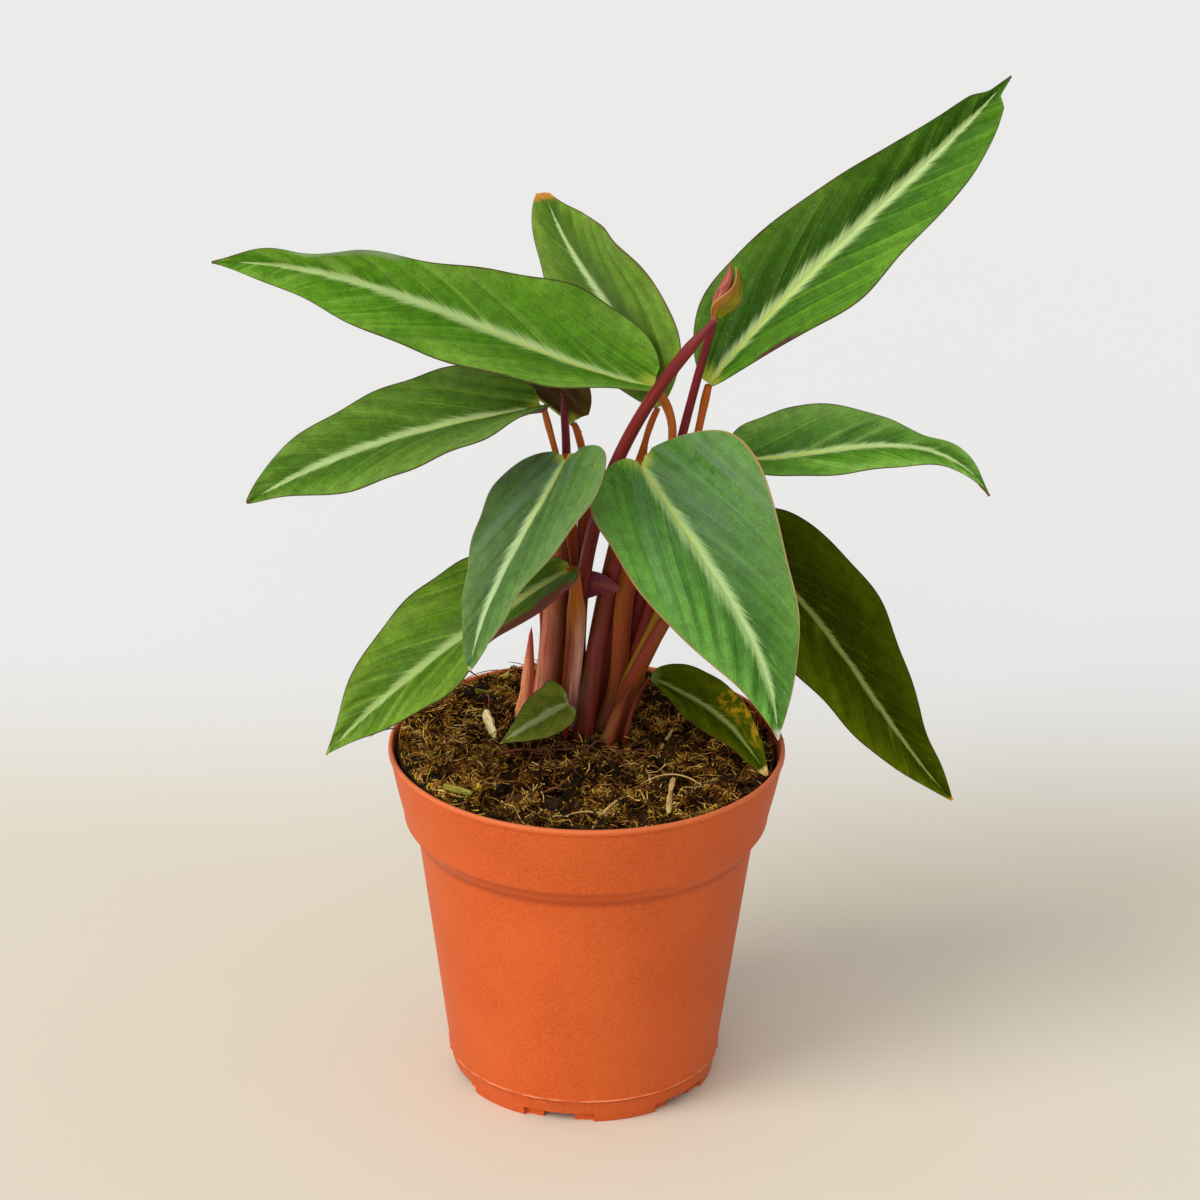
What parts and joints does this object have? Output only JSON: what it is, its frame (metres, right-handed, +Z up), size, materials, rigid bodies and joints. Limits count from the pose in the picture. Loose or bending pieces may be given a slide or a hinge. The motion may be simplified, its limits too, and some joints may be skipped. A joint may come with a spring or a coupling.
{
  "type": "potted stromanthe",
  "caption": "Young stromanthe with long green leaves, pale midribs and wine-red undersides on reddish stalks, standing in fibrous soil in a terracotta-orange plastic nursery pot",
  "frame": {"origin": "On the ground in the middle of the pot's underside, on the flat hub disc that it stands on", "axes": "+Z up and the direction of the whole height, -Y to the front of the picture, +X to the viewer's right"},
  "size_m": [0.2035, 0.119, 0.2733],
  "materials": {
    "pot": "thin moulded terracotta-orange plastic with a fine speckle",
    "soil": "dark fibrous peat and bark with golden fibres",
    "rhizome": "pale brown scaly root stock",
    "blade": "satin mid-green upper side with a pale feathered midrib, wine-red underside",
    "dark_blade": "shaded dark green upper side with a dull pale midrib, purple underside",
    "purple_blade": "wine-purple underside turned to the front",
    "brown_stalk": "smooth orange-brown to red-brown stalk",
    "crimson_stalk": "thick dark crimson stalk",
    "purple_stalk": "dark red-purple stalk",
    "pink_stalk": "salmon-pink sheathing stalk",
    "rolled_leaf": "rolled new leaf, pink on one side and olive-yellow on the other"
  },
  "bodies": {
    "root": {"basal_sheath": "purple_stalk", "basal_shoot": "pink_stalk", "furled_shoot_left": "purple_stalk", "furled_shoot_right": "purple_stalk", "leaf_01_blade": "blade", "leaf_01_stalk": "brown_stalk", "leaf_02_blade": "blade", "leaf_02_stalk": "brown_stalk", "leaf_03_blade": "blade", "leaf_03_stalk": "brown_stalk", "leaf_04_blade": "blade", "leaf_04_stalk": "brown_stalk", "leaf_05_blade": "dark_blade", "leaf_05_stalk": "brown_stalk", "leaf_06_blade": "blade", "leaf_06_stalk": "brown_stalk", "leaf_07_blade": "blade", "leaf_07_stalk": "pink_stalk", "leaf_08_blade": "blade", "leaf_08_stalk": "brown_stalk", "leaf_09_blade": "dark_blade", "leaf_09_stalk": "purple_stalk", "leaf_10_blade": "blade", "leaf_10_stalk": "brown_stalk", "leaf_11_blade": "purple_blade", "leaf_11_stalk": "pink_stalk", "leaf_12_blade": "blade", "leaf_12_stalk": "brown_stalk", "leaf_13_blade": "dark_blade", "leaf_13_stalk": "brown_stalk", "pot": "pot", "rhizome": "rhizome", "rolled_leaf": "rolled_leaf", "rolled_leaf_stalk": "crimson_stalk", "soil": "soil"}
  },
  "joints": []
}
